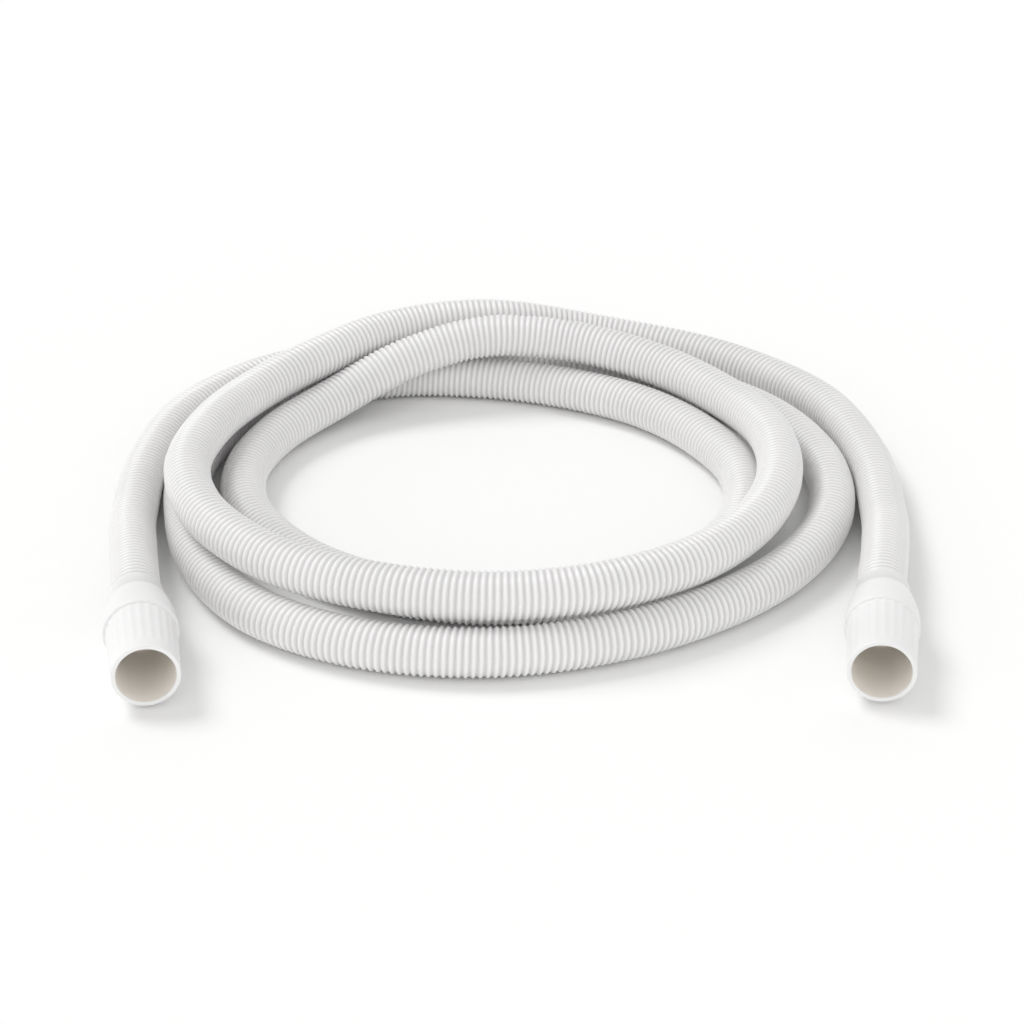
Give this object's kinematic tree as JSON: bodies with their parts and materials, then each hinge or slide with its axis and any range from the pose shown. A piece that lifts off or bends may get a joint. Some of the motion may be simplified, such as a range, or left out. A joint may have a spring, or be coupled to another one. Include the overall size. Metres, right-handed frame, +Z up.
{
  "type": "flexible vacuum hose",
  "caption": "Flexible corrugated PVC suction hose, coiled for storage, with a fluted push-on cuff on each end.",
  "frame": {"origin": "middle of the floor area that the coiled hose and its cuffs cover, on the floor", "axes": "+Z up from the floor, -Y the way both cuff mouths face, +X towards the right cuff"},
  "size_m": [0.642, 0.627, 0.0792],
  "materials": {
    "hose_pvc": "soft satin, ribbed",
    "cuff_pvc": "smooth satin, moulded"
  },
  "bodies": {
    "root": {"hose": "hose_pvc", "cuff_left": "cuff_pvc", "cuff_right": "cuff_pvc"}
  },
  "joints": []
}
